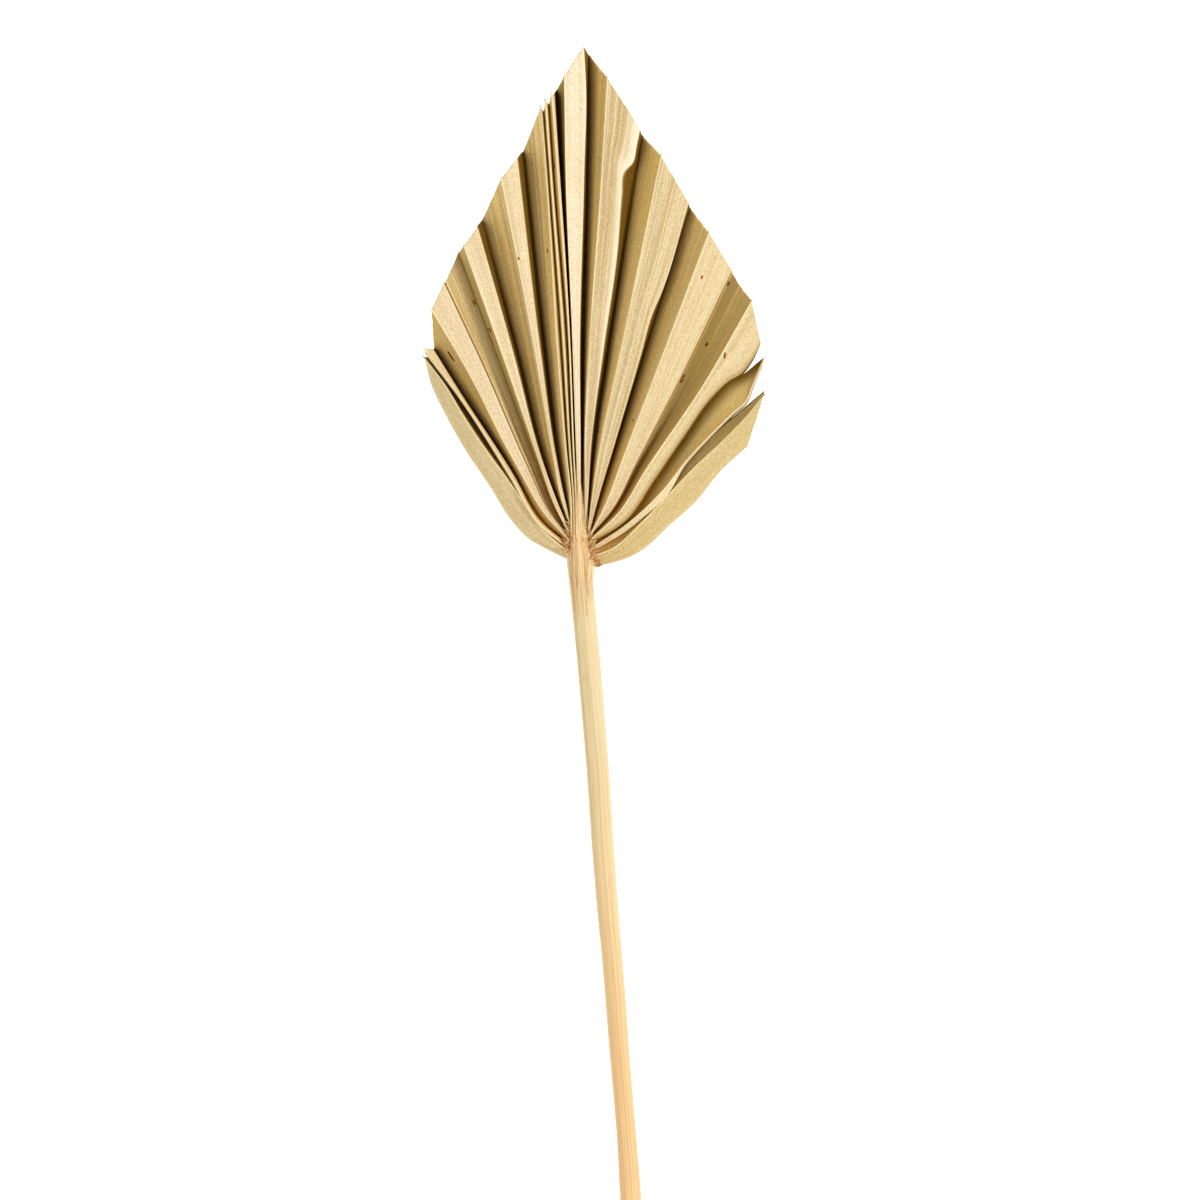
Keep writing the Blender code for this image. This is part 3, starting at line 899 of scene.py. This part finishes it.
# Colours of the petiole, its patterns as waves to a millimetre, and the lengths along +Y over which it changes.
STRAW = (0.74, 0.62, 0.38, 1.0)
OLD_STRAW = (0.84, 0.54, 0.27, 1.0)
STRAW_STREAK = (0.62, 0.40, 0.16, 1.0)
STRAW_PALE = (0.96, 0.80, 0.50, 1.0)
STRAW_SPECK = (0.50, 0.17, 0.04, 1.0)
STRAW_TORN = (0.52, 0.26, 0.09, 1.0)
STRAW_STREAK_WAVES = (2.2, 0.008, 1.0)
STRAW_PALE_WAVES = (1.5, 0.006, 4.0)
STRAW_SPECK_CELLS = (0.40, 0.10, 1.0)
STRAW_TORN_WAVES = (1.1, 0.04, 1.0)
STRAW_FIBRE_WAVES = (4.5, 0.03, 1.0)
AGEING_RANGE = (-70.0, -190.0)
TORN_RANGE = (-8.0, 4.0)


def petiole_material():
    n = Nodes("petiole_straw")
    grain = n.grain()
    length = n.along(grain)
    colour = n.mix(n.span(length, *AGEING_RANGE), STRAW, OLD_STRAW)
    streaks = n.noise(grain, STRAW_STREAK_WAVES, 5.0, 0.6)
    colour = n.mix(n.span(streaks, 0.48, 0.62, 0.0, 0.50), colour, STRAW_STREAK)
    pale = n.noise(grain, STRAW_PALE_WAVES, 4.0, shift=(3.0, 0.0, 0.0))
    colour = n.mix(n.span(pale, 0.50, 0.68, 0.0, 0.55), colour, STRAW_PALE)
    cells = n.add("ShaderNodeTexVoronoi", {"Vector": n.stretch(grain, STRAW_SPECK_CELLS), "Scale": 1.0})
    speck = n.span(cells.outputs["Distance"], 0.085, 0.04)
    colour = n.mix(n.times(speck, 0.6), colour, STRAW_SPECK)
    torn = n.span(n.noise(grain, STRAW_TORN_WAVES, 3.0, 0.6), 0.50, 0.60)
    colour = n.mix(n.times(torn, n.span(length, *TORN_RANGE, 0.0, 0.3)), colour, STRAW_TORN)
    fibres = n.noise(grain, STRAW_FIBRE_WAVES, 4.0)
    return n.finish({
        "Base Color": colour,
        "Normal": n.bump(fibres, 0.00035, 0.9),
        "Roughness": 0.5,
        "Specular IOR Level": 0.25,
    })


# Colours of the fibres and scabs, from tone 0 to tone 1, and of the scars.
FIBRE_PALE, FIBRE_DARK = (0.88, 0.70, 0.41, 1.0), (0.50, 0.19, 0.035, 1.0)
SCAB_PALE, SCAB_DARK = (0.55, 0.22, 0.06, 1.0), (0.09, 0.025, 0.007, 1.0)
SCAR_DARK, SCAR_PALE = (0.20, 0.075, 0.014, 1.0), (0.66, 0.36, 0.11, 1.0)
FLECK_WAVES = (900.0, 900.0, 900.0)
SCAR_WAVES = (700.0, 700.0, 700.0)


def toned_material(name, pale, dark):
    """Fibres or scabs, coloured by their tone."""
    n = Nodes(name)
    fleck = n.noise(n.plan(), FLECK_WAVES, 3.0)
    tone = n.times(n.attribute("tone"), n.span(fleck, 0.3, 0.7, 0.7, 1.2))
    return n.finish({"Base Color": n.mix(tone, pale, dark), "Roughness": 0.7, "Specular IOR Level": 0.08})


def scar_material():
    n = Nodes("scar")
    rough = n.noise(n.plan(), SCAR_WAVES, 6.0, 0.7)
    return n.finish({
        "Base Color": n.mix(n.span(rough, 0.35, 0.65), SCAR_DARK, SCAR_PALE),
        "Normal": n.bump(rough, 0.0008, 1.0),
        "Roughness": 0.75,
        "Specular IOR Level": 0.05,
    })


FLOOR_GREY = (0.5, 0.5, 0.5, 1.0)
FLOOR_GLOW, FLOOR_GLOW_STRENGTH = (1.0, 1.0, 1.0, 1.0), 0.95


def floor_material():
    return Nodes("pale_floor").finish({
        "Base Color": FLOOR_GREY,
        "Roughness": 0.9,
        "Emission Color": FLOOR_GLOW,
        "Emission Strength": FLOOR_GLOW_STRENGTH,
    })


# ---------------------------------------------------------------- stage

FLOOR_SIZE = 12.0  # metres
FLOOR_DROP = 0.0003  # keeps the floor clear of the petiole's flat underside


def make_stage():
    bm = bmesh.new()
    bmesh.ops.create_grid(bm, x_segments=1, y_segments=1, size=FLOOR_SIZE)
    bmesh.ops.translate(bm, verts=bm.verts, vec=(0.0, 0.0, -FLOOR_DROP))
    floor = finish_mesh(bm, "floor")
    floor.data.materials.append(floor_material())
    floor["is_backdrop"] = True


# Area lamps: place and size in metres, power in watts, colour. They are turned to a point on the blade.
LAMPS = (
    ("key", (1.50, 0.22, 1.66), 0.45, 37.0, (1.0, 0.985, 0.95)),
    ("fill", (-0.9, -0.3, 1.2), 1.2, 9.5, (1.0, 0.96, 0.86)),
)
LAMP_TARGET = Vector((0.0, 0.04, 0.0))
WORLD_COLOUR, WORLD_STRENGTH = (1.0, 0.93, 0.78, 1.0), 0.42


def add_lamp(name, place, size, power, tint):
    data = bpy.data.lights.new(name, "AREA")
    data.size = size
    data.energy = power
    data.color = tint
    lamp = bpy.data.objects.new(name, data)
    lamp.location = HASTULA + Vector(place)
    lamp.rotation_euler = (HASTULA + LAMP_TARGET - lamp.location).to_track_quat("-Z", "Y").to_euler()
    bpy.context.scene.collection.objects.link(lamp)


def light_scene():
    world = bpy.data.worlds.new("studio")
    world.use_nodes = True
    world.node_tree.nodes["Background"].inputs["Color"].default_value = WORLD_COLOUR
    world.node_tree.nodes["Background"].inputs["Strength"].default_value = WORLD_STRENGTH
    scene = bpy.context.scene
    scene.world = world
    scene.view_settings.view_transform = "Standard"
    for lamp in LAMPS:
        add_lamp(*lamp)


VIEW_WIDTH = 432.0
VIEW_CENTRE = (6.5, -18.7)
RIB_TOPS = 7.0  # the height at which the view is that wide
LENS, SENSOR = 100.0, 36.0
FARTHEST_SEEN = 40.0  # metres


def add_camera():
    data = bpy.data.cameras.new("camera")
    data.lens = LENS
    data.sensor_width = SENSOR
    data.clip_end = FARTHEST_SEEN
    camera = bpy.data.objects.new("camera", data)
    distance = VIEW_WIDTH * LENS / SENSOR + RIB_TOPS
    camera.location = HASTULA + Vector((VIEW_CENTRE[0], VIEW_CENTRE[1], distance)) * MM
    bpy.context.scene.collection.objects.link(camera)
    bpy.context.scene.camera = camera


# ---------------------------------------------------------------- assembly

# Each sheet's name, rails, noise seed and the node that it replaces.
SHEETS = (
    ("blade_left", LEFT_FAN, 1.0, "blade"),
    ("blade_right", RIGHT_FAN, 2.0, "blade"),
    ("lower_left_leaf", LOWER_LEFT, 3.0, "lower_left_segment"),
    ("middle_right_leaf", MIDDLE_RIGHT, 4.0, "middle_right_segment"),
    ("lower_right_leaf", LOWER_RIGHT, 5.0, "lower_right_segment"),
)
TONGUE_SEED, SCAR_SEED = 4, 5


def finish_piece(piece, material, slot, *nodes):
    piece.data.materials.append(material)
    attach(piece, "root")
    if nodes:
        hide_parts(*nodes)


def main():
    leaf = leaf_material()
    sheets = [make_sheet(name, rails, seed) for name, rails, seed, _ in SHEETS]
    for sheet, (_, _, _, node) in zip(sheets, SHEETS):
        finish_piece(sheet, leaf, "blade", node)
    finish_piece(make_petiole(), petiole_material(), "petiole", "petiole")
    fibre = toned_material("fibre", FIBRE_PALE, FIBRE_DARK)
    finish_piece(make_strands("tongue_fibres", tongue_strands(random.Random(TONGUE_SEED))), fibre, "petiole")
    finish_piece(make_strands("scar_fibres", scar_strands(random.Random(SCAR_SEED))), fibre, "petiole")
    finish_piece(make_scars(), scar_material(), "petiole")
    finish_piece(make_specks(sheets), toned_material("scab", SCAB_PALE, SCAB_DARK), "blade")
    make_stage()
    light_scene()
    add_camera()


main()
